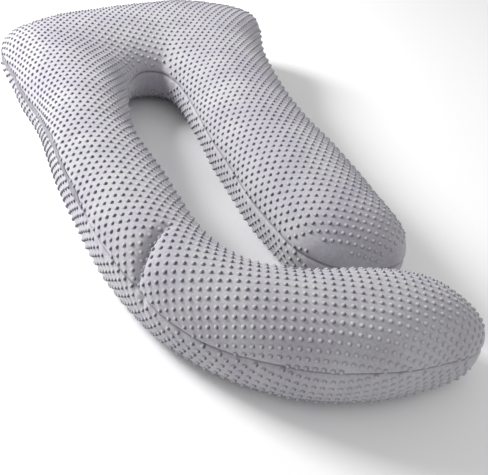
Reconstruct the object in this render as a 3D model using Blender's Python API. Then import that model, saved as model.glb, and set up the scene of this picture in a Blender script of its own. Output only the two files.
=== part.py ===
"""Full-body pregnancy pillow: a J-shaped filled cushion lying on its back, with a zip placket.

Units are metres, +Z is up, and +Y points to the head end. The origin is on the floor, under the
middle of the cushion. The cushion is one filled solid, lofted round the J from the tip of the
short arm, through the wide head end, down the long arm and round to the tip of the foot end.
"""
import math

import bmesh
import bpy
from mathutils import Matrix, Vector

# Driving dimensions of the cushion's section
FLAT_SHARE = 0.38          # share of the half width that lies flat on the floor
CROWN_POWER = 2.2          # fullness of the upper panel across the section
BELLY_POWER = 2.15         # fullness of the lower panel between the seam and the floor
BELLY_BULGE = 0.06         # share of the half width that the lower panel swells past the seam
SEAM_PINCH = 0.004         # how far the stitched seam draws the side in
CROWN_STEPS = 14           # faces across the upper panel
BELLY_STEPS = 4            # faces between the seam and the flat, on each side
ROW_STEPS = 6              # sections between two rows of the table
TIP_STEPS = 5              # sections that round off each tip
TIP_ROWS = 1.0             # length of each rounded tip, in table rows

# The crease at the bend: place, half width and section places in table rows
CREASE_ROW = 15.3
CREASE_DEPTH = 0.022
CREASE_ROWS = 0.07
CREASE_OFFSETS = (-0.16, -0.07, 0.0, 0.07, 0.16)

# The zip placket on the long arm's outer seam
PLACKET_ROWS = (10.0, 14.25)
PLACKET_HALF_HEIGHT = 0.008
PLACKET_THICKNESS = 0.0016
PLACKET_GAP = 0.0005

VELVET_COLOUR = (0.42, 0.41, 0.44)
PLACKET_COLOUR = (0.33, 0.32, 0.35)

# One row for each section of the J, from the short arm's tip to the long arm's tip.
# Columns: outer edge x, outer edge y, inner edge x, inner edge y, crown height, height of the
# outer seam, height of the inner seam
SECTIONS = (
    (0.376, -0.458, 0.116, -0.450, 0.180, 0.097, 0.105),
    (0.366, -0.344, 0.086, -0.340, 0.200, 0.095, 0.110),
    (0.354, -0.216, 0.056, -0.220, 0.207, 0.098, 0.112),
    (0.335, -0.072, 0.040, -0.080, 0.209, 0.114, 0.115),
    (0.315, 0.091, 0.029, 0.080, 0.206, 0.101, 0.115),
    (0.304, 0.266, 0.025, 0.220, 0.207, 0.105, 0.115),
    (0.314, 0.470, 0.017, 0.333, 0.210, 0.123, 0.115),
    (0.334, 0.681, -0.001, 0.387, 0.212, 0.163, 0.115),
    (0.155, 0.784, -0.023, 0.413, 0.204, 0.138, 0.115),
    (-0.131, 0.756, -0.063, 0.416, 0.195, 0.106, 0.115),
    (-0.413, 0.642, -0.099, 0.387, 0.186, 0.089, 0.112),
    (-0.412, 0.422, -0.134, 0.314, 0.198, 0.092, 0.108),
    (-0.379, 0.231, -0.151, 0.210, 0.202, 0.099, 0.104),
    (-0.370, 0.037, -0.162, 0.060, 0.202, 0.147, 0.102),
    (-0.350, -0.165, -0.132, -0.109, 0.203, 0.144, 0.102),
    (-0.305, -0.378, -0.104, -0.326, 0.204, 0.124, 0.106),
    (-0.204, -0.574, -0.052, -0.438, 0.206, 0.100, 0.112),
    (-0.041, -0.707, 0.035, -0.491, 0.217, 0.119, 0.118),
    (0.139, -0.760, 0.151, -0.506, 0.222, 0.130, 0.122),
    (0.309, -0.737, 0.279, -0.524, 0.200, 0.106, 0.112),
    (0.435, -0.706, 0.376, -0.557, 0.161, 0.071, 0.085),
)
LAST_ROW = len(SECTIONS) - 1


def material(name, colour, roughness):
    """A plain cloth surface."""
    cloth = bpy.data.materials.new(name)
    cloth.use_nodes = True
    shader = cloth.node_tree.nodes["Principled BSDF"]
    shader.inputs["Base Color"].default_value = (*colour, 1.0)
    shader.inputs["Roughness"].default_value = roughness
    shader.inputs["Metallic"].default_value = 0.0
    return cloth


def table_at(row):
    """The table's values at a fractional row, on a smooth curve through its rows."""
    low = min(int(row), LAST_ROW - 1)
    part = row - low
    before = SECTIONS[max(low - 1, 0)]
    here = SECTIONS[low]
    after = SECTIONS[low + 1]
    beyond = SECTIONS[min(low + 2, LAST_ROW)]
    values = []
    for a, b, c, d in zip(before, here, after, beyond):
        slope_in = (c - a) / 2
        slope_out = (d - b) / 2
        cubic = 2 * (b - c) + slope_in + slope_out
        square = 3 * (c - b) - 2 * slope_in - slope_out
        values.append(((cubic * part + square) * part + slope_in) * part + b)
    return values


def tip_rounding(row):
    """One along the arms, falling to nothing at the two tips as a quarter of an ellipse."""
    inward = min(row, LAST_ROW - row) / TIP_ROWS
    if inward >= 1.0:
        return 1.0
    return math.sqrt(max(0.0, 1.0 - (1.0 - inward) ** 2))


def section_rows():
    """The table rows at which the sections lie: close together at the tips and the crease."""
    quarter = math.pi / 2 / TIP_STEPS
    tip = [TIP_ROWS * (1 - math.cos(quarter * step)) for step in range(1, TIP_STEPS)]
    middle_count = round((LAST_ROW - 2 * TIP_ROWS) * ROW_STEPS)
    middle = [TIP_ROWS + step / ROW_STEPS for step in range(middle_count + 1)]
    crease = [CREASE_ROW + offset for offset in CREASE_OFFSETS]
    middle = [row for row in middle if min(abs(row - mark) for mark in crease) > 0.03]
    return sorted(tip + middle + crease + [LAST_ROW - row for row in tip])


def section_outline():
    """One section's points as pairs: across (1 outer seam, -1 inner seam) and lift.

    Lift runs from 0 at the seam to 1 at the crown, and down to -1 at the floor.
    """
    points = []
    for step in range(CROWN_STEPS + 1):
        turn = math.pi * step / CROWN_STEPS
        across = math.copysign(abs(math.cos(turn)) ** (2 / CROWN_POWER), math.cos(turn))
        points.append((across, abs(math.sin(turn)) ** (2 / CROWN_POWER)))
    points[0] = (1.0, 0.0)
    points[-1] = (-1.0, 0.0)
    belly = []
    for step in range(1, BELLY_STEPS + 1):
        turn = math.pi / 2 * step / BELLY_STEPS
        across = FLAT_SHARE + (1 - FLAT_SHARE) * max(0.0, math.cos(turn)) ** (2 / BELLY_POWER)
        across += BELLY_BULGE * math.sin(2 * turn)
        belly.append((across, -min(1.0, math.sin(turn) ** (2 / BELLY_POWER))))
    points += [(-across, lift) for across, lift in belly]
    points.append((0.0, -1.0))
    points += list(reversed(belly))
    return points


def crease_depth(row, across):
    """How far the bend's crease sinks the surface at a point of the section."""
    along = math.exp(-((row - CREASE_ROW) / CREASE_ROWS) ** 2)
    reach = min(1.0, max(0.0, (0.75 - across) / 0.9))
    return CREASE_DEPTH * along * reach


def place(row, across, lift):
    """A point of the cushion's skin."""
    outer_x, outer_y, inner_x, inner_y, crown, outer_seam, inner_seam = table_at(row)
    rounding = tip_rounding(row)
    outer = Vector((outer_x, outer_y))
    inner = Vector((inner_x, inner_y))
    middle = (outer + inner) / 2
    half = (outer - inner) / 2
    drawn_in = 1.0 - SEAM_PINCH / half.length * max(0.0, 1.0 - abs(lift) * 12)
    spot = middle + half * (across * rounding * drawn_in)
    seam = inner_seam + (outer_seam - inner_seam) * (across + 1) / 2
    height = crown - seam if lift > 0 else seam
    z = seam + height * lift * rounding
    if lift > 0:
        z -= crease_depth(row, across) * lift
    return Vector((spot.x, spot.y, z))


def add_object(name, bm, cloth):
    """Turns a finished bmesh into a named, smooth-shaded object."""
    bmesh.ops.recalc_face_normals(bm, faces=bm.faces)
    mesh = bpy.data.meshes.new(name)
    bm.to_mesh(mesh)
    bm.free()
    mesh.materials.append(cloth)
    mesh.shade_smooth()
    thing = bpy.data.objects.new(name, mesh)
    bpy.context.collection.objects.link(thing)
    return thing


def bridge(bm, ring, following):
    """Faces between two closed rings of equal length."""
    count = len(ring)
    for index in range(count):
        after = (index + 1) % count
        bm.faces.new((ring[index], ring[after], following[after], following[index]))


def make_body():
    """The filled cushion, one closed skin."""
    bm = bmesh.new()
    outline = section_outline()
    rings = []
    for row in section_rows():
        rings.append([bm.verts.new(place(row, across, lift)) for across, lift in outline])
    for ring, following in zip(rings, rings[1:]):
        bridge(bm, ring, following)
    for row, ring in ((0, rings[0]), (LAST_ROW, rings[-1])):
        pole = bm.verts.new(place(row, 0.0, 0.0))
        for index, vert in enumerate(ring):
            bm.faces.new((vert, ring[(index + 1) % len(ring)], pole))
    return add_object("pillow_body", bm, material("dotted velvet", VELVET_COLOUR, 0.85))


def make_placket():
    """The smooth strip that covers the zip along the long arm's outer seam."""
    bm = bmesh.new()
    start, end = PLACKET_ROWS
    rows = [row for row in section_rows() if start <= row <= end]
    outline = section_outline()
    above = outline[1]
    below = outline[-1]
    rings = []
    for row in rows:
        seam = place(row, 1.0, 0.0)
        ahead = place(row + 0.05, 1.0, 0.0) - place(row - 0.05, 1.0, 0.0)
        outward = Vector((ahead.y, -ahead.x, 0.0)).normalized()
        if outward.dot(seam - place(row, 0.0, 0.0)) < 0:
            outward = -outward
        up = (place(row, *above) - seam).normalized() * PLACKET_HALF_HEIGHT
        down = (place(row, *below) - seam).normalized() * PLACKET_HALF_HEIGHT
        inside = [seam + up, seam, seam + down]
        near = [point + outward * PLACKET_GAP for point in inside]
        far = [point + outward * (PLACKET_GAP + PLACKET_THICKNESS) for point in reversed(inside)]
        rings.append([bm.verts.new(point) for point in near + far])
    for ring, following in zip(rings, rings[1:]):
        bridge(bm, ring, following)
    bm.faces.new(rings[0])
    bm.faces.new(rings[-1])
    return add_object("zip_placket", bm, material("woven placket", PLACKET_COLOUR, 0.8))


def centre_on_floor(things):
    """Moves the meshes together, so that the origin is under the middle of their shared box."""
    spots = [vert.co for thing in things for vert in thing.data.vertices]
    middle_x = (min(spot.x for spot in spots) + max(spot.x for spot in spots)) / 2
    middle_y = (min(spot.y for spot in spots) + max(spot.y for spot in spots)) / 2
    for thing in things:
        thing.data.transform(Matrix.Translation((-middle_x, -middle_y, 0.0)))


for old in list(bpy.data.objects):
    bpy.data.objects.remove(old, do_unlink=True)

centre_on_floor([make_body(), make_placket()])
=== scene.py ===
import math

import bpy
import numpy as np
from mathutils import Euler, Matrix, Vector, noise
from mathutils.kdtree import KDTree


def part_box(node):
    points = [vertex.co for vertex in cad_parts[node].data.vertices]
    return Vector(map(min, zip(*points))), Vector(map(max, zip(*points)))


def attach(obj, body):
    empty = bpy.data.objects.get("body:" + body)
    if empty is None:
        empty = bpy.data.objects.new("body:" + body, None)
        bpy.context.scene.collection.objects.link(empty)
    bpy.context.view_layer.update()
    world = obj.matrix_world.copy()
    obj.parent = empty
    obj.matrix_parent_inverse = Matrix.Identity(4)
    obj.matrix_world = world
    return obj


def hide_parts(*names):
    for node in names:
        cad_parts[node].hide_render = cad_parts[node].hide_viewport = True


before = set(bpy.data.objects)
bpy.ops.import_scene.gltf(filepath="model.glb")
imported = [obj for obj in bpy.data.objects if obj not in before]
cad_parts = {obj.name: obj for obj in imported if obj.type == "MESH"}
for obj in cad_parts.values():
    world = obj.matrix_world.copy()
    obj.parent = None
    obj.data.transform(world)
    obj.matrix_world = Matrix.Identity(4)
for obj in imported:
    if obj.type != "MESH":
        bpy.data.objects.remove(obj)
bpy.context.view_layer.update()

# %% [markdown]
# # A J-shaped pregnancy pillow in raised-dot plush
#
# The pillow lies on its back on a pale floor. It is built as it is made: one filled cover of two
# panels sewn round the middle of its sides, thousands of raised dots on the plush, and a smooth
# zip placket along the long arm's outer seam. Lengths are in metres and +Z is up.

RANDOM = np.random.default_rng(7)


def colour(hex_code):
    """An sRGB colour such as "a1b2c3" as the linear RGBA that a shader takes."""
    parts = [int(hex_code[at:at + 2], 16) / 255 for at in (0, 2, 4)]
    linear = [p / 12.92 if p < 0.04045 else ((p + 0.055) / 1.055) ** 2.4 for p in parts]
    return (*linear, 1.0)


def add_mesh(name, points, faces, smooth=True):
    """A new object at the origin from points and faces."""
    mesh = bpy.data.meshes.new(name)
    mesh.from_pydata([tuple(point) for point in points], [], [tuple(face) for face in faces])
    mesh.update()
    if smooth:
        mesh.shade_smooth()
    thing = bpy.data.objects.new(name, mesh)
    bpy.context.collection.objects.link(thing)
    return thing


def positions(thing):
    """The object's points as a numpy table."""
    table = np.empty(len(thing.data.vertices) * 3)
    thing.data.vertices.foreach_get("co", table)
    return table.reshape(-1, 3)


def move_points(thing, table):
    """Writes the points back."""
    thing.data.vertices.foreach_set("co", np.ascontiguousarray(table).ravel())
    thing.data.update()


def normals(thing):
    """The object's smooth point normals as a numpy table."""
    table = np.empty(len(thing.data.vertices) * 3)
    thing.data.vertex_normals.foreach_get("vector", table)
    return table.reshape(-1, 3)


def triangles(thing):
    """How many triangles the object's mesh makes."""
    return sum(len(face.vertices) - 2 for face in thing.data.polygons)


# %% [markdown]
# ## The plan of the J
#
# One table row for each section, from the short arm's tip, round the wide head end, down the long
# arm and to the foot end's tip. A smooth curve through the rows gives any section between them.

# %% The table and the skin
# Columns: outer edge x and y, inner edge x and y, crown height, outer and inner seam height
SECTIONS = np.array((
    (0.376, -0.458, 0.116, -0.450, 0.180, 0.097, 0.105),
    (0.366, -0.344, 0.086, -0.340, 0.200, 0.095, 0.110),
    (0.354, -0.216, 0.056, -0.220, 0.207, 0.098, 0.112),
    (0.335, -0.072, 0.040, -0.080, 0.209, 0.114, 0.115),
    (0.315, 0.091, 0.029, 0.080, 0.206, 0.101, 0.115),
    (0.304, 0.266, 0.025, 0.220, 0.207, 0.105, 0.115),
    (0.314, 0.470, 0.017, 0.333, 0.210, 0.123, 0.115),
    (0.334, 0.681, -0.001, 0.387, 0.212, 0.163, 0.115),
    (0.155, 0.784, -0.023, 0.413, 0.204, 0.138, 0.115),
    (-0.131, 0.756, -0.063, 0.416, 0.195, 0.106, 0.115),
    (-0.413, 0.642, -0.099, 0.387, 0.186, 0.089, 0.112),
    (-0.412, 0.422, -0.134, 0.314, 0.198, 0.092, 0.108),
    (-0.379, 0.231, -0.151, 0.210, 0.202, 0.099, 0.104),
    (-0.370, 0.037, -0.162, 0.060, 0.202, 0.147, 0.102),
    (-0.350, -0.165, -0.132, -0.109, 0.203, 0.144, 0.102),
    (-0.305, -0.378, -0.104, -0.326, 0.204, 0.124, 0.106),
    (-0.204, -0.574, -0.052, -0.438, 0.206, 0.100, 0.112),
    (-0.041, -0.707, 0.035, -0.491, 0.217, 0.119, 0.118),
    (0.139, -0.760, 0.151, -0.506, 0.222, 0.130, 0.122),
    (0.309, -0.737, 0.279, -0.524, 0.200, 0.106, 0.112),
    (0.435, -0.706, 0.376, -0.557, 0.161, 0.071, 0.085),
))
LAST_ROW = len(SECTIONS) - 1
FLAT_SHARE = 0.38          # share of the half width that lies flat on the floor
FLAT_TURN = 0.32           # share of the lower panel's turn that the flat takes
CROWN_POWER = 2.2          # fullness of the upper panel
BELLY_POWER = 2.15         # fullness of the lower panel
BELLY_BULGE = 0.06         # how far the lower panel swells past the seam
RING = 168                 # points round a section, half of them on each panel
STEP = 0.0064              # distance between sections, along the middle of the arms
TIP_STEPS = 22             # sections that round off each tip


def table_at(rows):
    """The table's values at fractional rows."""
    low = np.clip(np.floor(rows).astype(int), 0, LAST_ROW - 1)
    part = (rows - low)[:, None]
    before = SECTIONS[np.maximum(low - 1, 0)]
    here = SECTIONS[low]
    after = SECTIONS[low + 1]
    beyond = SECTIONS[np.minimum(low + 2, LAST_ROW)]
    slope_in = (after - before) / 2
    slope_out = (beyond - here) / 2
    cubic = 2 * (here - after) + slope_in + slope_out
    square = 3 * (after - here) - 2 * slope_in - slope_out
    return ((cubic * part + square) * part + slope_in) * part + here


def outline(turn):
    """Across and lift at a turn round the section: 0 outer seam, 1 inner seam, 2 outer again."""
    turn = np.mod(turn, 2.0)
    upper = turn <= 1.0
    angle = np.pi * turn
    across = np.sign(np.cos(angle)) * np.abs(np.cos(angle)) ** (2 / CROWN_POWER)
    lift = np.abs(np.sin(angle)) ** (2 / CROWN_POWER)
    off = np.abs(turn - 1.5) * 2
    quarter = np.pi / 2 * np.clip((1.0 - off) / (1.0 - FLAT_TURN), 0.0, 1.0)
    side = FLAT_SHARE + (1 - FLAT_SHARE) * np.abs(np.cos(quarter)) ** (2 / BELLY_POWER)
    side = side + BELLY_BULGE * np.sin(2 * quarter)
    side = np.where(off < FLAT_TURN, FLAT_SHARE * off / FLAT_TURN, side)
    sign = np.where(turn > 1.5, 1.0, -1.0)
    across = np.where(upper, across, sign * side)
    lift = np.where(upper, lift, -np.minimum(1.0, np.abs(np.sin(quarter)) ** (2 / BELLY_POWER)))
    return across, lift


def skin(rows, turn):
    """Points of the smooth cushion at fractional table rows and turns round the section."""
    rows = np.asarray(rows, dtype=float)
    across, lift = outline(np.asarray(turn, dtype=float))
    values = table_at(rows)
    inward = np.clip(np.minimum(rows, LAST_ROW - rows), 0.0, 1.0)
    rounding = np.sqrt(1.0 - (1.0 - inward) ** 2)
    outer = values[:, 0:2]
    inner = values[:, 2:4]
    spot = (outer + inner) / 2 + (outer - inner) / 2 * (across * rounding)[:, None]
    seam = values[:, 6] + (values[:, 5] - values[:, 6]) * (across * rounding + 1) / 2
    height = np.where(lift > 0, values[:, 4] - seam, seam)
    return np.column_stack((spot, seam + height * lift * rounding))


dense = np.linspace(0, LAST_ROW, 4001)
dense_table = table_at(dense)
middle = dense_table[:, 0:2] * 0.62 + dense_table[:, 2:4] * 0.38
steps = np.linalg.norm(np.diff(middle, axis=0), axis=1)
steps *= 1 + 0.8 * np.exp(-((dense[1:] - 15.3) / 0.18) ** 2)
along = np.concatenate(([0.0], np.cumsum(steps)))
start = np.interp(1.0, dense, along)
end = np.interp(LAST_ROW - 1.0, dense, along)
body_rows = np.interp(np.linspace(start, end, round((end - start) / STEP)), along, dense)
tip_rows = 1 - np.cos(np.pi / 2 * np.arange(1, TIP_STEPS) / TIP_STEPS)
ROWS = np.concatenate((tip_rows, body_rows, (LAST_ROW - tip_rows)[::-1]))
even = np.arange(RING) / RING * 2
TURNS = even - 0.55 * np.sin(2 * np.pi * even) / (2 * np.pi)
print("sections", len(ROWS), "points round", RING)


# %% [markdown]
# ## The cushion
#
# The skin is laid out as rings of points, closer together beside the two seams. A coarser copy is
# then blown up as cloth, held at the seams and the floor, and its swelling is given to the fine
# skin. That makes the panels tighten between the seams the way a filled cover does.

# %% Loft the cover
def ring_faces(ring_count, ring):
    """Quads between closed rings of points."""
    here = np.arange(ring_count - 1)[:, None] * ring + np.arange(ring)[None, :]
    beside = np.arange(ring_count - 1)[:, None] * ring + (np.arange(ring)[None, :] + 1) % ring
    return np.stack((here, here + ring, beside + ring, beside), axis=-1).reshape(-1, 4)


def grid_faces(down, right):
    """Quads of an open grid of points."""
    here = np.arange(down - 1)[:, None] * right + np.arange(right - 1)[None, :]
    return np.stack((here, here + right, here + right + 1, here + 1), axis=-1).reshape(-1, 4)


grid_rows, grid_turns = (table.ravel() for table in np.meshgrid(ROWS, TURNS, indexing="ij"))
points = skin(grid_rows, grid_turns)
tips = np.array([(SECTIONS[at, 0:2] + SECTIONS[at, 2:4]) / 2 for at in (0, LAST_ROW)])
tips = np.column_stack((tips, [SECTIONS[at, 5:7].mean() for at in (0, LAST_ROW)]))
points = np.vstack((points, tips))
last_ring = (len(ROWS) - 1) * RING
faces = ring_faces(len(ROWS), RING).tolist()
faces += [(at, (at + 1) % RING, len(points) - 2) for at in range(RING)]
faces += [(last_ring + (at + 1) % RING, last_ring + at, len(points) - 1) for at in range(RING)]

low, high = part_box("pillow_body")
own_middle = (points.min(axis=0) + points.max(axis=0)) / 2
shift = np.array(((low[0] + high[0]) / 2 - own_middle[0], (low[1] + high[1]) / 2 - own_middle[1], 0.0))
points = points + shift
cover = add_mesh("pillow_cover", points, faces)
print("cover", len(points), "points", triangles(cover), "triangles, shift", shift.round(4))


# %% Blow it up as cloth
SWELL_CAP = 0.008          # how far the cloth may move
PRESSURE = 4.0


def cloth_swell(thing):
    """Runs a coarse copy as cloth under pressure; returns its points and how far they moved."""
    copy = thing.copy()
    copy.data = thing.data.copy()
    bpy.context.collection.objects.link(copy)
    remesh = copy.modifiers.new("even", "REMESH")
    remesh.mode = "VOXEL"
    remesh.voxel_size = 0.0125
    shaped = bpy.data.meshes.new_from_object(copy.evaluated_get(bpy.context.evaluated_depsgraph_get()))
    copy.modifiers.remove(remesh)
    copy.data = shaped
    before = positions(copy)
    tree = KDTree(len(SEAM_LINE))
    for index, spot in enumerate(SEAM_LINE):
        tree.insert(spot, index)
    tree.balance()
    held = copy.vertex_groups.new(name="held")
    for index, spot in enumerate(before):
        if spot[2] < 0.004 or tree.find(spot)[2] < 0.014:
            held.add([index], 1.0, "REPLACE")
    cloth = copy.modifiers.new("cloth", "CLOTH")
    cloth.settings.quality = 5
    cloth.settings.mass = 0.3
    cloth.settings.tension_stiffness = 12.0
    cloth.settings.compression_stiffness = 12.0
    cloth.settings.bending_stiffness = 0.4
    cloth.settings.use_pressure = True
    cloth.settings.uniform_pressure_force = PRESSURE
    cloth.settings.vertex_group_mass = "held"
    cloth.settings.effector_weights.gravity = 0.0
    cloth.point_cache.frame_start = 1
    cloth.point_cache.frame_end = 20
    for step in range(1, 21):
        bpy.context.scene.frame_set(step)
    blown = copy.evaluated_get(bpy.context.evaluated_depsgraph_get())
    moved = positions(blown) - before
    bpy.context.scene.frame_set(1)
    bpy.data.objects.remove(copy, do_unlink=True)
    return before, moved


def follow(points, coarse, moved):
    """The movement at fine points, from the four nearest coarse ones."""
    tree = KDTree(len(coarse))
    for index, spot in enumerate(coarse):
        tree.insert(spot, index)
    tree.balance()
    result = np.zeros_like(points)
    for index, spot in enumerate(points):
        near = tree.find_n(spot, 6)
        weights = np.array([1.0 / (distance ** 2 + 2e-5) for _, _, distance in near])
        result[index] = (weights[:, None] * moved[[at for _, at, _ in near]]).sum(axis=0) / weights.sum()
    return result


def ring_table(points):
    """The cover's points without its two tips, as rings."""
    return points[:-2].reshape(len(ROWS), RING, 3)


rings = ring_table(points)
SEAM_LINE = np.vstack((rings[:, 0], rings[:, RING // 2], points[-2:]))
coarse, moved = cloth_swell(cover)
length = np.linalg.norm(moved, axis=1)
moved *= (np.minimum(length, SWELL_CAP) / np.maximum(length, 1e-9))[:, None]
points = points + follow(points, coarse, moved)
print("cloth points", len(coarse), "moved up to", round(float(length.max()) * 1000, 1), "mm, mean",
      round(float(length.mean()) * 1000, 1))
move_points(cover, points)


# %% [markdown]
# ## Relief
#
# A filled plush cover is never even. Broad soft lumps come from the filling, the stitched seam
# sinks in, and the panels pucker beside it. A few folds are placed one by one: the deep crease at
# the bend, in a narrow and a wide part, and a small tuck at the outer seam just past it.

# %% Shape the relief
LUMP = 0.003               # height of the filling's broad lumps
DENT = 0.0012              # height of the smaller ones
GROOVE = 0.0038            # depth of the stitched seam
GROOVE_WIDTH = 0.0045
PUCKER = 0.0018            # height of the puckers beside the seam
PUCKER_LENGTH = 0.034      # distance from one pucker to the next

# Each fold: depth (negative rises), half width, and its places as (row, turn, share of the depth)
FOLDS = (
    (0.020, 0.008, ((15.10, 0.50, 0.3), (15.18, 0.36, 0.8), (15.24, 0.25, 1.0), (15.31, 0.13, 1.0),
                    (15.33, 0.04, 0.7), (15.34, 0.0, 0.2))),
    (0.010, 0.030, ((15.10, 0.55, 0.2), (15.24, 0.25, 1.0), (15.33, 0.04, 0.3))),
    (0.008, 0.008, ((15.43, 0.02, 0.3), (15.45, 1.99, 1.0), (15.48, 1.96, 0.2))),
)


def bumps(points, size, seed):
    """Smooth noise, from about -1 to 1, with features of about this size."""
    aside = Vector((seed * 13.7, seed * 7.1, seed * 3.3))
    return np.array([noise.noise(Vector(point) / size + aside) for point in points])


def seam_distances(rings):
    """Distance of each ring point from the nearer seam, measured on the skin."""
    gaps = np.linalg.norm(np.roll(rings, -1, axis=1) - rings, axis=2)
    round_to = np.concatenate((np.zeros((len(rings), 1)), np.cumsum(gaps, axis=1)), axis=1)
    total = round_to[:, -1:]
    round_to = round_to[:, :-1]
    inner = round_to[:, RING // 2][:, None]
    return np.minimum(np.minimum(round_to, total - round_to), np.abs(round_to - inner))


def seam_waves(line, seed):
    """Irregular waves along a seam line, from -1 to 1."""
    along = np.concatenate(([0.0], np.cumsum(np.linalg.norm(np.diff(line, axis=0), axis=1))))
    drift = np.array([noise.noise(Vector((spot / 0.11, seed, 0.0))) for spot in along])
    strength = np.array([noise.noise(Vector((spot / 0.16, seed, 5.0))) for spot in along])
    return np.sin(2 * np.pi * (along / PUCKER_LENGTH + 1.1 * drift)) * np.clip(0.55 + strength, 0, 1)


def fold_depth(points, fold):
    """How deep a fold sinks each point."""
    depth, width, places = fold
    spots = np.array(places)
    spots[:, 1] = np.where(spots[:, 1] > 1.5, spots[:, 1] - 2.0, spots[:, 1])
    fine = np.linspace(0, len(spots) - 1, 60)
    rows, turns, share = (np.interp(fine, range(len(spots)), column) for column in spots.T)
    line = skin(rows, turns) + shift
    result = np.zeros(len(points))
    close = np.abs(points - line.mean(axis=0)).max(axis=1) < np.ptp(line, axis=0).max() + 3 * width
    distances = np.linalg.norm(points[close][:, None, :] - line[None, :, :], axis=2)
    nearest = distances.argmin(axis=1)
    result[close] = depth * share[nearest] * np.exp(-(distances.min(axis=1) / width) ** 2)
    return result


rings = ring_table(points)
away = seam_distances(rings)
waves = np.empty((len(ROWS), RING))
half = RING // 2
quarter = RING // 4
waves[:, :quarter] = seam_waves(rings[:, 0], 1.0)[:, None]
waves[:, -quarter:] = seam_waves(rings[:, 0], 1.0)[:, None]
waves[:, quarter:-quarter] = seam_waves(rings[:, half], 9.0)[:, None]
raised = PUCKER * waves * np.exp(-away / 0.018) * (1 - np.exp(-(away / 0.004) ** 2))
raised -= GROOVE * np.exp(-(away / GROOVE_WIDTH) ** 2)
raised = np.concatenate((raised.ravel(), (-GROOVE, -GROOVE)))
raised += LUMP * bumps(points, 0.14, 1) + DENT * bumps(points, 0.05, 2)
for fold in FOLDS:
    raised -= fold_depth(points, fold)
points = points + normals(cover) * raised[:, None]
points[:, 2] = np.maximum(points[:, 2], 0.0)
move_points(cover, points)
seam_away = np.concatenate((away.ravel(), (0.0, 0.0)))
attribute = cover.data.attributes.new("seam_distance", "FLOAT", "POINT")
attribute.data.foreach_set("value", seam_away)
print("cover reaches", points.min(axis=0).round(3), points.max(axis=0).round(3))


# %% [markdown]
# ## The raised dots
#
# The dots are embossed before the cloth is cut, so they lie on one lattice of the flat cloth. Each
# panel is unwrapped to its flat cut with the least stretch, in real metres, and Geometry Nodes lay
# the lattice there and carry each dot to its place on the cushion.

# %% Flat cuts of the two panels
RELAX_STEPS = 900          # rounds that bring the flat cut's lengths towards the real ones


def flatten(table):
    """Lays a panel's grid of points out flat, with its lengths kept as well as they can be."""
    gaps = np.linalg.norm(np.diff(table, axis=1), axis=2)
    arcs = np.concatenate((np.zeros((len(table), 1)), np.cumsum(gaps, axis=1)), axis=1)
    share = arcs / arcs[:, -1:]
    first = table[:, :1, 0:2]
    last = table[:, -1:, 0:2]
    flat = first + (last - first) * share[:, :, None]
    springs = []
    for down, right in ((0, 1), (1, 0), (1, 1), (1, -1), (0, 2), (2, 0)):
        one = (slice(0, flat.shape[0] - down), slice(max(0, -right), flat.shape[1] - max(0, right)))
        two = (slice(down, None), slice(max(0, right), flat.shape[1] + min(0, right)))
        springs.append((one, two, np.linalg.norm(table[two] - table[one], axis=2)))
    for _ in range(RELAX_STEPS):
        push = np.zeros_like(flat)
        for one, two, wanted in springs:
            apart = flat[two] - flat[one]
            length = np.maximum(np.linalg.norm(apart, axis=2), 1e-9)
            step = apart * ((length - wanted) / length)[:, :, None]
            push[one] += step
            push[two] -= step
        flat += push * 0.09
    length = np.linalg.norm(flat[1:] - flat[:-1], axis=2) / springs[1][2]
    print("stretch along the arms: 5, 50 and 95 percent", np.percentile(length, (5, 50, 95)).round(2))
    return flat


def panel_guide(name, first, last):
    """A panel of the cover as its own mesh, with a UV map of its flat cut in metres."""
    columns = np.unique(np.append(np.arange(first, last, 3), last)) % RING
    picked = np.unique(np.append(np.arange(0, len(ROWS), 3), len(ROWS) - 1))
    table = ring_table(points)[picked][:, columns]
    faces = grid_faces(*table.shape[:2])
    guide = add_mesh(name, table.reshape(-1, 3), faces.tolist())
    edge = guide.data.attributes.new("edge", "FLOAT", "POINT")
    edge.data.foreach_set("value", away[picked][:, columns].ravel())
    corners = np.empty(len(guide.data.loops), dtype=int)
    guide.data.loops.foreach_get("vertex_index", corners)
    flat = flatten(table).reshape(-1, 2)
    guide.data.uv_layers.new(name="flat").data.foreach_set("uv", flat[corners].ravel())
    return guide


guide_upper = panel_guide("guide upper", 0, half)
guide_lower = panel_guide("guide lower", half, RING)


# %% [markdown]
# ## Nodes
#
# Two short helpers serve both the Geometry Nodes and the materials. Each piece of cloth then gets
# one procedural material on object coordinates, its grain in real millimetres.

# %% Node helpers and materials
def add_node(tree, kind, inputs=None, **settings):
    """One more node, with its settings, and its inputs as values or as links."""
    made = tree.nodes.new(kind)
    for name, value in settings.items():
        setattr(made, name, value)
    for key, value in (inputs or {}).items():
        if isinstance(value, bpy.types.NodeSocket):
            tree.links.new(value, made.inputs[key])
        else:
            made.inputs[key].default_value = value
    return made


def blank_material(name):
    """A material with its shader, ready for more nodes."""
    made = bpy.data.materials.new(name)
    made.use_nodes = True
    return made, made.node_tree, made.node_tree.nodes["Principled BSDF"]


def ramp(tree, source, stops):
    """A colour ramp over (place, hex colour) stops."""
    made = add_node(tree, "ShaderNodeValToRGB", {"Fac": source})
    band = made.color_ramp
    while len(band.elements) < len(stops):
        band.elements.new(0.5)
    for element, (place, code) in zip(band.elements, stops):
        element.position = place
        element.color = colour(code)
    return made.outputs["Color"]


def grain(tree, place, size, detail=3.0, roughness=0.5):
    """Noise with features of about this size in metres, from 0 to 1."""
    made = add_node(tree, "ShaderNodeTexNoise", {
        "Vector": place, "Scale": 1.0 / size, "Detail": detail, "Roughness": roughness})
    return made.outputs["Fac"]


def multiply(tree, first, second, share=1.0):
    """One colour darkened by another."""
    made = add_node(tree, "ShaderNodeMix", {0: share, 6: first, 7: second},
                    data_type="RGBA", blend_type="MULTIPLY")
    return made.outputs[2]


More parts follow.
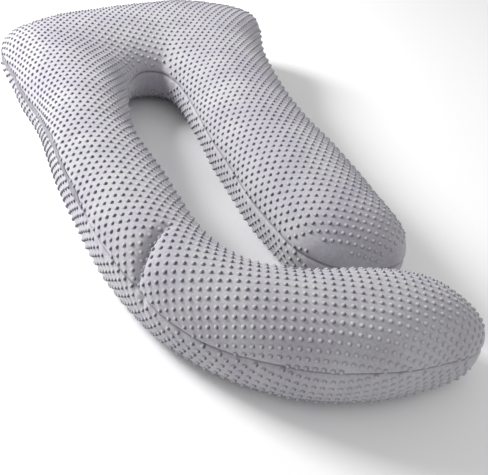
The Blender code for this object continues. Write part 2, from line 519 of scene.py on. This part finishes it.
def plush_material():
    """Brushed polyester plush: a short pile that glows at its edges and darkens where pressed.

    The pile's lean differs from place to place, which gives the soft lilac-grey clouds, and the
    pile parts along the stitched seam, which shows as a dark line.
    """
    made, tree, shader = blank_material("brushed polyester plush")
    place = add_node(tree, "ShaderNodeTexCoord").outputs["Object"]
    clouds = ramp(tree, grain(tree, place, 0.13, 2.0), ((0.36, "b3b0b9"), (0.62, "bebdc1")))
    nap = ramp(tree, grain(tree, place, 0.006, 4.0, 0.6), ((0.3, "8f8f8f"), (0.7, "ffffff")))
    seam = add_node(tree, "ShaderNodeAttribute", attribute_name="seam_distance")
    near = add_node(tree, "ShaderNodeMapRange", {
        "Value": seam.outputs["Fac"], "From Min": 0.0008, "From Max": 0.0035, "To Min": 0.55, "To Max": 1.0})
    shade = multiply(tree, multiply(tree, clouds, nap, 0.3), near.outputs["Result"])
    tree.links.new(shade, shader.inputs["Base Color"])
    shader.inputs["Roughness"].default_value = 0.88
    shader.inputs["Specular IOR Level"].default_value = 0.25
    shader.inputs["Sheen Weight"].default_value = 0.35
    shader.inputs["Sheen Roughness"].default_value = 0.45
    shader.inputs["Sheen Tint"].default_value = colour("e8e6ee")
    fibres = grain(tree, place, 0.0018, 4.0, 0.7)
    bump = add_node(tree, "ShaderNodeBump", {"Strength": 0.35, "Distance": 0.001, "Height": fibres})
    tree.links.new(bump.outputs["Normal"], shader.inputs["Normal"])
    return made


def dot_material():
    """The same plush on the embossed dots, with painted shade that deepens towards each dot's foot and painted
    shade on its side away from the key light.
    """
    made, tree, shader = blank_material("embossed plush dots")
    place = add_node(tree, "ShaderNodeTexCoord").outputs["Object"]
    clouds = ramp(tree, grain(tree, place, 0.13, 2.0), ((0.36, "b3b0b9"), (0.62, "bebdc1")))
    # Painted shade: each dot is darker towards its foot and lightest at its top, by its height
    rise = add_node(tree, "ShaderNodeAttribute", attribute_name="rise")
    tone = ramp(tree, rise.outputs["Fac"], ((0.0, "c4c4c4"), (0.35, "e8e8e8"), (1.0, "ffffff")))
    # Painted shade: the side of each dot that faces away from the key light is darkened, by the lean attribute
    lean = add_node(tree, "ShaderNodeAttribute", attribute_name="lean")
    side = ramp(tree, lean.outputs["Fac"], ((0.08, "ffffff"), (0.75, "8a8890")))
    shade = multiply(tree, multiply(tree, clouds, tone), side)
    tree.links.new(shade, shader.inputs["Base Color"])
    shader.inputs["Roughness"].default_value = 0.8
    shader.inputs["Specular IOR Level"].default_value = 0.35
    shader.inputs["Sheen Weight"].default_value = 0.35
    shader.inputs["Sheen Roughness"].default_value = 0.4
    shader.inputs["Sheen Tint"].default_value = colour("e8e6ee")
    return made


def tape_material():
    """Smooth woven polyester tape: flat, a little glossier than the plush, with a fine weave."""
    made, tree, shader = blank_material("woven polyester tape")
    place = add_node(tree, "ShaderNodeTexCoord").outputs["Object"]
    tone = ramp(tree, grain(tree, place, 0.02, 3.0), ((0.3, "76747c"), (0.7, "86848b")))
    tree.links.new(tone, shader.inputs["Base Color"])
    shader.inputs["Roughness"].default_value = 0.7
    weave = grain(tree, place, 0.0008, 2.0)
    bump = add_node(tree, "ShaderNodeBump", {"Strength": 0.3, "Distance": 0.0005, "Height": weave})
    tree.links.new(bump.outputs["Normal"], shader.inputs["Normal"])
    return made


plush = plush_material()
dotted = dot_material()
tape = tape_material()
cover.data.materials.append(plush)


# %% Geometry Nodes for the dots
PITCH = 0.0174             # distance between dots in a row
ROW_GAP = 0.0180           # distance between rows
STAGGER = 0.26             # how far each row is moved along, as a share of the pitch
SQUARE_TO = -0.40          # the cloth is drawn askew only on the head side of this line
LATTICE_TURN = -21.0       # degrees from +X to the rows
SHADED_SIDE = Vector((0.68, -0.73, 0.0))   # painted shade: each dot's side that faces this way, away from the key light, is painted darker
DOT_RADIUS = 0.0057
DOT_HEIGHT = 0.0044
DOT_SIDES = 8
DOT_RINGS = ((1.0, -0.10), (0.74, 0.34), (0.42, 0.84))   # radius and height shares
LATTICE_COUNT = 160        # dots in a row, and rows, before the panel's cut


def dot_mesh():
    """One bell-shaped dot, open below, with its height kept for the material."""
    turns = np.arange(DOT_SIDES) * 2 * np.pi / DOT_SIDES
    spots = []
    for share, lift in DOT_RINGS:
        spots += [(DOT_RADIUS * share * math.cos(a), DOT_RADIUS * share * math.sin(a), DOT_HEIGHT * lift)
                  for a in turns]
    spots.append((0.0, 0.0, DOT_HEIGHT))
    faces = []
    for level in range(len(DOT_RINGS) - 1):
        for side in range(DOT_SIDES):
            here = level * DOT_SIDES + side
            beside = level * DOT_SIDES + (side + 1) % DOT_SIDES
            faces.append((here, beside, beside + DOT_SIDES, here + DOT_SIDES))
    top = (len(DOT_RINGS) - 1) * DOT_SIDES
    faces += [(top + side, top + (side + 1) % DOT_SIDES, len(spots) - 1) for side in range(DOT_SIDES)]
    dot = add_mesh("dot", spots, faces)
    rise = dot.data.attributes.new("rise", "FLOAT", "POINT")
    rise.data.foreach_set("value", [max(0.0, spot[2] / DOT_HEIGHT) for spot in spots])
    return dot


def dots_tree():
    """Lays a lattice on the flat cut, carries it to the cushion and stands a dot on each place."""
    tree = bpy.data.node_groups.new("raised dots", "GeometryNodeTree")
    for name, kind in (("Cushion", "Object"), ("Guide", "Object"), ("Dot", "Object"), ("Pitch", "Float"),
                       ("Row Gap", "Float"), ("Stagger", "Float"), ("Square To", "Float"), ("Turn", "Float"),
                       ("Edge Gap", "Float"), ("Seed", "Int"), ("Cloth", "Material")):
        tree.interface.new_socket(name, in_out="INPUT", socket_type="NodeSocket" + kind)
    tree.interface.new_socket("Geometry", in_out="OUTPUT", socket_type="NodeSocketGeometry")
    given = add_node(tree, "NodeGroupInput").outputs

    def maths(operation, first, second):
        made = add_node(tree, "ShaderNodeMath", operation=operation)
        for socket, value in zip(made.inputs, (first, second)):
            if isinstance(value, bpy.types.NodeSocket):
                tree.links.new(value, socket)
            else:
                socket.default_value = value
        return made.outputs[0]

    spans = LATTICE_COUNT - 1
    lattice = add_node(tree, "GeometryNodeMeshGrid", {
        "Size X": maths("MULTIPLY", given["Pitch"], spans), "Size Y": maths("MULTIPLY", given["Row Gap"], spans),
        "Vertices X": LATTICE_COUNT, "Vertices Y": LATTICE_COUNT})
    dots = add_node(tree, "GeometryNodeMeshToPoints", {"Mesh": lattice.outputs["Mesh"]})
    place = add_node(tree, "GeometryNodeInputPosition").outputs[0]
    apart = add_node(tree, "ShaderNodeSeparateXYZ", {0: place}).outputs
    beyond = add_node(tree, "ShaderNodeMath", {0: maths("SUBTRACT", apart["Y"], given["Square To"]), 1: 0.0,
                                               2: 0.15}, operation="SMOOTH_MAX").outputs[0]
    row = maths("DIVIDE", beyond, given["Row Gap"])
    slide = maths("MULTIPLY", maths("MULTIPLY", row, given["Stagger"]), given["Pitch"])
    slid = add_node(tree, "ShaderNodeCombineXYZ", {"X": maths("ADD", apart["X"], slide), "Y": apart["Y"]})
    turned = add_node(tree, "ShaderNodeVectorRotate", {"Vector": slid.outputs[0], "Angle": given["Turn"]},
                      rotation_type="Z_AXIS")
    laid = add_node(tree, "GeometryNodeSetPosition", {
        "Geometry": dots.outputs["Points"], "Position": turned.outputs[0]})
    guide = add_node(tree, "GeometryNodeObjectInfo", {"Object": given["Guide"]}).outputs["Geometry"]
    flat = add_node(tree, "GeometryNodeInputNamedAttribute", {"Name": "flat"}, data_type="FLOAT_VECTOR")
    edge = add_node(tree, "GeometryNodeInputNamedAttribute", {"Name": "edge"}, data_type="FLOAT")
    found = add_node(tree, "GeometryNodeSampleUVSurface", {
        "Mesh": guide, "Value": place, "Source UV Map": flat.outputs[0], "Sample UV": place},
        data_type="FLOAT_VECTOR")
    to_edge = add_node(tree, "GeometryNodeSampleUVSurface", {
        "Mesh": guide, "Value": edge.outputs[0], "Source UV Map": flat.outputs[0], "Sample UV": place},
        data_type="FLOAT")
    outside = add_node(tree, "FunctionNodeBooleanMath", {0: found.outputs["Is Valid"]}, operation="NOT")
    too_near = add_node(tree, "FunctionNodeCompare", {"A": to_edge.outputs["Value"], "B": given["Edge Gap"]},
                        data_type="FLOAT", operation="LESS_THAN")
    unwanted = add_node(tree, "FunctionNodeBooleanMath", {
        0: outside.outputs[0], 1: too_near.outputs[0]}, operation="OR")
    kept = add_node(tree, "GeometryNodeDeleteGeometry", {
        "Geometry": laid.outputs[0], "Selection": unwanted.outputs[0]}, domain="POINT")
    lifted = add_node(tree, "GeometryNodeSetPosition", {
        "Geometry": kept.outputs[0], "Position": found.outputs["Value"]})
    cushion = add_node(tree, "GeometryNodeObjectInfo", {"Object": given["Cushion"]}).outputs["Geometry"]
    nearest = add_node(tree, "GeometryNodeProximity", {0: cushion}, target_element="FACES")
    seated = add_node(tree, "GeometryNodeSetPosition", {
        "Geometry": lifted.outputs[0], "Position": nearest.outputs["Position"]})
    facing = add_node(tree, "GeometryNodeSampleNearestSurface", {
        "Mesh": cushion, "Value": add_node(tree, "GeometryNodeInputNormal").outputs[0]},
        data_type="FLOAT_VECTOR")
    upright = add_node(tree, "FunctionNodeAlignRotationToVector", {"Vector": facing.outputs["Value"]}, axis="Z")
    size = add_node(tree, "FunctionNodeRandomValue", {"Min": (0.93, 0.93, 0.86), "Max": (1.07, 1.07, 1.12),
                                                      "Seed": given["Seed"]}, data_type="FLOAT_VECTOR")
    shape = add_node(tree, "GeometryNodeObjectInfo", {"Object": given["Dot"], "As Instance": True})
    standing = add_node(tree, "GeometryNodeInstanceOnPoints", {
        "Points": seated.outputs[0], "Instance": shape.outputs["Geometry"],
        "Rotation": upright.outputs[0], "Scale": size.outputs["Value"]})
    known = add_node(tree, "GeometryNodeStoreNamedAttribute", {
        "Geometry": standing.outputs[0], "Name": "stand", "Value": facing.outputs["Value"]},
        data_type="FLOAT_VECTOR", domain="INSTANCE")
    real = add_node(tree, "GeometryNodeRealizeInstances", {"Geometry": known.outputs[0]})
    painted = add_node(tree, "GeometryNodeSetMaterial", {
        "Geometry": real.outputs[0], "Material": given["Cloth"]})
    add_node(tree, "NodeGroupOutput", {"Geometry": painted.outputs[0]})
    return tree


def lay_dots(name, guide, tree, **values):
    """Runs the dots' nodes for one panel, and keeps the result as a plain mesh."""
    host = add_mesh("dots host", [], [])
    modifier = host.modifiers.new("dots", "NODES")
    modifier.node_group = tree
    identifiers = {item.name: item.identifier for item in tree.interface.items_tree if item.in_out == "INPUT"}
    for key, value in values.items():
        modifier[identifiers[key.replace("_", " ")]] = value
    modifier[identifiers["Guide"]] = guide
    ready = host.evaluated_get(bpy.context.evaluated_depsgraph_get())
    mesh = bpy.data.meshes.new_from_object(ready)
    mesh.name = name
    made = bpy.data.objects.new(name, mesh)
    bpy.context.collection.objects.link(made)
    made.data.shade_smooth()
    bpy.data.objects.remove(host, do_unlink=True)
    stand = np.empty(len(mesh.vertices) * 3)
    mesh.attributes["stand"].data.foreach_get("vector", stand)
    # Painted shade: how far each point's normal tilts towards the side away from the key light, for the dot
    # material to darken
    lean = (normals(made) - stand.reshape(-1, 3)) @ np.array(SHADED_SIDE)
    mesh.attributes.new("lean", "FLOAT", "POINT").data.foreach_set("value", lean)
    mesh.attributes.remove(mesh.attributes["stand"])
    print(name, len(mesh.vertices) // (len(DOT_RINGS) * DOT_SIDES + 1), "dots", triangles(made), "triangles")
    return made


tree = dots_tree()
dot = dot_mesh()
lattice = dict(Cushion=cover, Dot=dot, Pitch=PITCH, Row_Gap=ROW_GAP, Stagger=STAGGER, Square_To=SQUARE_TO,
               Turn=math.radians(LATTICE_TURN), Edge_Gap=0.0055, Cloth=dotted)
dots_upper = lay_dots("dots_upper", guide_upper, tree, Seed=3, **lattice)
dots_lower = lay_dots("dots_lower", guide_lower, tree, Seed=4, **lattice)
for helper in (dot, guide_upper, guide_lower):
    bpy.data.objects.remove(helper, do_unlink=True)


# %% [markdown]
# ## The zip placket
#
# A smooth strip on the outer seam of the long arm, wavy because the plush beside it is gathered.

# %% Placket
PLACKET_ROWS = (10.0, 14.25)
PLACKET_HALF = 0.0100      # half the strip's height
PLACKET_THICK = 0.0014
# Row and share of the strip's full height: it is pinched where the cover folds
PLACKET_SHAPE = ((10.0, 0.35), (10.4, 0.8), (11.5, 0.9), (12.5, 0.75), (13.0, 1.0), (13.6, 0.8),
                 (13.75, 0.55), (13.95, 1.25), (14.2, 0.5))
STRIP_STEPS = 8            # faces across the strip


def placket_points():
    """Rings of the strip: its outside, then its inside back again."""
    rings = ring_table(points)
    rows = np.flatnonzero((ROWS >= PLACKET_ROWS[0]) & (ROWS <= PLACKET_ROWS[1]))
    share = np.interp(ROWS[rows], [row for row, _ in PLACKET_SHAPE], [part for _, part in PLACKET_SHAPE])
    reach = 8
    around = np.arange(-reach, reach + 1)
    made = []
    for row, part in zip(rows, share):
        line = rings[row][around % RING]
        gaps = np.linalg.norm(np.diff(line, axis=0), axis=1)
        along = np.concatenate(([0.0], np.cumsum(gaps)))
        along -= along[reach]
        wanted = np.linspace(-1, 1, STRIP_STEPS + 1) * PLACKET_HALF * part
        across = np.column_stack([np.interp(wanted, along, line[:, axis]) for axis in range(3)])
        ahead = rings[min(row + 2, len(ROWS) - 1)][0] - rings[row - 2][0]
        outward = np.cross(across[-1] - across[0], ahead)
        outward /= np.linalg.norm(outward)
        if outward @ (rings[row][0] - rings[row].mean(axis=0)) < 0:
            outward = -outward
        chord = across[0] + (across[-1] - across[0]) * np.linspace(0, 1, STRIP_STEPS + 1)[:, None]
        crown = 0.0012 * np.sin(np.pi * np.linspace(0, 1, STRIP_STEPS + 1))
        sag = (across - chord) @ outward
        lift = np.maximum(sag, 0) + 0.0008 + crown
        inside = chord + outward * lift[:, None]
        outside = inside + outward * PLACKET_THICK
        made.append(np.vstack((outside, inside[::-1])))
    return np.array(made)


strip = placket_points()
ring = strip.shape[1]
faces = ring_faces(len(strip), ring).tolist()
end = (len(strip) - 1) * ring
faces.append(tuple(range(ring)))
faces.append(tuple(end + at for at in reversed(range(ring))))
placket = add_mesh("placket_strip", strip.reshape(-1, 3), faces)
placket.data.materials.append(tape)


# %% [markdown]
# ## Floor, light and camera
#
# A pale floor, one large soft light from the upper left and behind, and a weak fill. The camera
# looks down over the foot end, turned a little as it was held.

# %% Studio
floor = add_mesh("studio floor", [(-6, -6, 0), (6, -6, 0), (6, 6, 0), (-6, 6, 0)], [(0, 1, 2, 3)], False)
ground, floor_tree, floor_shader = blank_material("pale studio floor")
floor_shader.inputs["Base Color"].default_value = colour("fafafa")
floor_shader.inputs["Roughness"].default_value = 0.9
floor.data.materials.append(ground)

world = bpy.data.worlds.new("soft studio")
bpy.context.scene.world = world
world.use_nodes = True
world.node_tree.nodes["Background"].inputs["Color"].default_value = colour("ffffff")
world.node_tree.nodes["Background"].inputs["Strength"].default_value = 0.55


def add_light(name, spot, aim, size, power):
    """A soft square light at a spot, aimed at a point."""
    data = bpy.data.lights.new(name, "AREA")
    data.size = size
    data.energy = power
    lamp = bpy.data.objects.new(name, data)
    lamp.location = spot
    lamp.rotation_euler = (Vector(aim) - Vector(spot)).to_track_quat("-Z", "Y").to_euler()
    bpy.context.collection.objects.link(lamp)
    return lamp


add_light("key", (-2.2, 1.7, 1.8), (0.0, 0.0, 0.1), 1.1, 150.0)
add_light("fill", (1.8, -1.6, 1.6), (0.0, 0.0, 0.1), 2.0, 6.0)
bpy.context.scene.view_settings.view_transform = "Standard"

camera_data = bpy.data.cameras.new("camera")
camera_data.lens = 60.5
camera_data.sensor_width = 36.0
camera_data.sensor_fit = "HORIZONTAL"
camera = bpy.data.objects.new("camera", camera_data)
camera.location = Vector((-0.6057, -1.599, 1.215)) + Vector(shift)
aim = Matrix.Rotation(math.radians(-25.13), 3, "Z") @ Matrix.Rotation(math.radians(52.0), 3, "X")
camera.rotation_euler = (aim @ Matrix.Rotation(math.radians(11.5), 3, "Z")).to_euler()
bpy.context.collection.objects.link(camera)
bpy.context.scene.camera = camera

# %% [markdown]
# ## The frame
#
# Every piece rides on the one body. The cover and its dots stand for the filled solid, and the
# strip stands for the placket.

# %% Tie the pieces to the frame
for piece in (cover, dots_upper, dots_lower, placket):
    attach(piece, "root")
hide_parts("pillow_body")
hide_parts("zip_placket")
